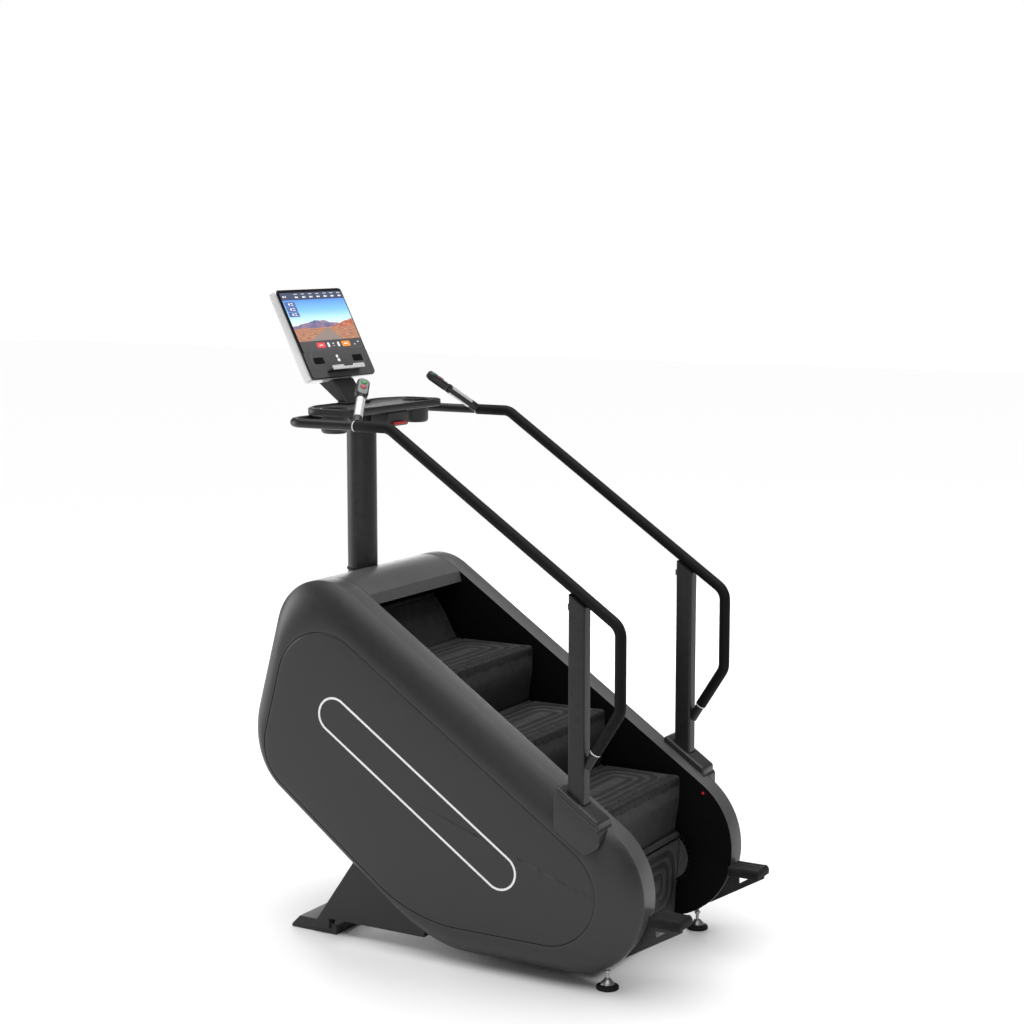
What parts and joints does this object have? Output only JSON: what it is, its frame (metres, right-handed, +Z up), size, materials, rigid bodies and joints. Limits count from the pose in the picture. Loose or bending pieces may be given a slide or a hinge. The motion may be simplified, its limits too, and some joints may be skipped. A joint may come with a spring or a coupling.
{
  "type": "stair climber",
  "caption": "Gym stair climber: a revolving flight of hinged steps between two moulded side pods, with handrails, grips, a cup tray and a console on a column.",
  "frame": {"origin": "on the floor, under the middle of the overall bounding box", "axes": "+Z up, +Y forward from the entry to the console, +X to the user's right"},
  "size_m": [0.904, 1.723, 2.2645],
  "materials": {
    "frame_black": "satin",
    "rubber_black": "matte",
    "band_grey": "satin",
    "shell_grey": "satin",
    "panel_grey": "satin",
    "cover_grey": "satin",
    "post_grey": "satin",
    "moulded_black": "satin",
    "button_green": "gloss",
    "button_red": "gloss",
    "silver": "satin",
    "screen_black": "gloss",
    "ledge_white": "gloss",
    "steel": "satin",
    "step_grey": "matte"
  },
  "bodies": {
    "base": {"side_plate_left": "frame_black", "side_plate_right": "frame_black", "middle_tube": "frame_black", "rear_tube": "frame_black", "column_beam": "frame_black", "front_foot": "frame_black", "foot_peg_left": "frame_black", "foot_peg_right": "frame_black", "drive_motor": "frame_black", "levelling_foot_left": "rubber_black", "levelling_foot_right": "rubber_black", "rail_sleeve_left": "rubber_black", "rail_sleeve_right": "rubber_black", "drive_belt": "rubber_black", "side_liner_left": "band_grey", "side_liner_right": "band_grey", "side_shell_left": "shell_grey", "side_shell_right": "shell_grey", "post_boot_left": "shell_grey", "post_boot_right": "shell_grey", "lower_cover": "shell_grey", "side_panel_left": "panel_grey", "side_panel_right": "panel_grey", "top_cover": "cover_grey", "post_left": "post_grey", "post_right": "post_grey", "handrail_left": "post_grey", "handrail_right": "post_grey", "column": "post_grey", "grip_left": "moulded_black", "grip_right": "moulded_black", "tray": "moulded_black", "stop_box": "moulded_black", "console_neck": "moulded_black", "power_inlet": "moulded_black", "console_housing": "silver", "screen_panel": "screen_black", "tablet_ledge": "ledge_white", "step_chain_left": "steel", "step_chain_right": "steel"},
    "drive_shaft": {"drive_shaft": "steel"},
    "idler_shaft": {"idler_shaft": "steel"},
    "motor_pulley": {"motor_pulley": "steel"},
    "step_1": {"tread_1": "step_grey", "riser_1": "step_grey"},
    "step_2": {"tread_2": "step_grey", "riser_2": "step_grey"},
    "step_3": {"tread_3": "step_grey", "riser_3": "step_grey"},
    "step_4": {"tread_4": "step_grey", "riser_4": "step_grey"},
    "step_5": {"tread_5": "step_grey", "riser_5": "step_grey"},
    "return_steps": {"return_steps": "step_grey"},
    "green_button_left": {"green_button_left": "button_green"},
    "green_button_right": {"green_button_right": "button_green"},
    "red_button_left": {"red_button_left": "button_red"},
    "red_button_right": {"red_button_right": "button_red"},
    "stop_pull": {"stop_pull": "button_red"}
  },
  "joints": [
    {"name": "drive_turn", "type": "hinge", "parent": "base", "child": "drive_shaft", "pos_m": [0, 0.44684, 0.91597], "axis": [1, 0, 0], "range_deg": [-29.5, 7.5]},
    {"name": "idler_turn", "type": "hinge", "parent": "base", "child": "idler_shaft", "pos_m": [0, -0.4985, 0.272], "axis": [1, 0, 0], "range_deg": [-30, 8]},
    {"name": "motor_turn", "type": "hinge", "parent": "base", "child": "motor_pulley", "pos_m": [0, 0.64184, 0.65997], "axis": [1, 0, 0], "range_deg": [-85, 22]},
    {"name": "step_2_run", "type": "slide", "parent": "base", "child": "step_2", "axis": [0, -0.8265, -0.563], "range_m": [-0.0491, 0.0126]},
    {"name": "step_3_run", "type": "slide", "parent": "base", "child": "step_3", "axis": [0, -0.8265, -0.563], "range_m": [-0.0491, 0.0126]},
    {"name": "step_4_run", "type": "slide", "parent": "base", "child": "step_4", "axis": [0, -0.8265, -0.563], "range_m": [-0.0491, 0.0126]},
    {"name": "return_run", "type": "slide", "parent": "base", "child": "return_steps", "axis": [0, 0.8265, 0.563], "range_m": [-0.0491, 0.0126]},
    {"name": "step_1_knee", "type": "hinge", "parent": "step_2", "child": "step_1", "pos_m": [0, 0.35251, 0.96666], "axis": [1, 0, 0], "range_deg": [-29, 8]},
    {"name": "step_5_knee", "type": "hinge", "parent": "step_4", "child": "step_5", "pos_m": [0, -0.54149, 0.35766], "axis": [1, 0, 0], "range_deg": [-29, 8]},
    {"name": "green_button_left_press", "type": "slide", "parent": "base", "child": "green_button_left", "axis": [0.2839, 0.5542, -0.7825], "range_m": [0, 0.002], "stiffness_N_per_m": 400},
    {"name": "red_button_left_press", "type": "slide", "parent": "base", "child": "red_button_left", "axis": [0.2839, 0.5542, -0.7825], "range_m": [0, 0.002], "stiffness_N_per_m": 400},
    {"name": "green_button_right_press", "type": "slide", "parent": "base", "child": "green_button_right", "axis": [-0.2839, 0.5542, -0.7825], "range_m": [0, 0.002], "stiffness_N_per_m": 400},
    {"name": "red_button_right_press", "type": "slide", "parent": "base", "child": "red_button_right", "axis": [-0.2839, 0.5542, -0.7825], "range_m": [0, 0.002], "stiffness_N_per_m": 400},
    {"name": "stop_press", "type": "slide", "parent": "base", "child": "stop_pull", "axis": [0, 1, 0], "range_m": [0, 0.006], "stiffness_N_per_m": 600}
  ],
  "couplings": [
    {"joint": "idler_turn", "follows": "drive_turn", "ratio": 1},
    {"joint": "motor_turn", "follows": "drive_turn", "ratio": 2.8571},
    {"joint": "step_2_run", "follows": "drive_turn", "m_per_rad": 0.095},
    {"joint": "step_3_run", "follows": "drive_turn", "m_per_rad": 0.095},
    {"joint": "step_4_run", "follows": "drive_turn", "m_per_rad": 0.095},
    {"joint": "return_run", "follows": "drive_turn", "m_per_rad": 0.095},
    {"joint": "step_1_knee", "follows": "drive_turn", "ratio": 0.9625},
    {"joint": "step_5_knee", "follows": "drive_turn", "ratio": 0.9625}
  ]
}
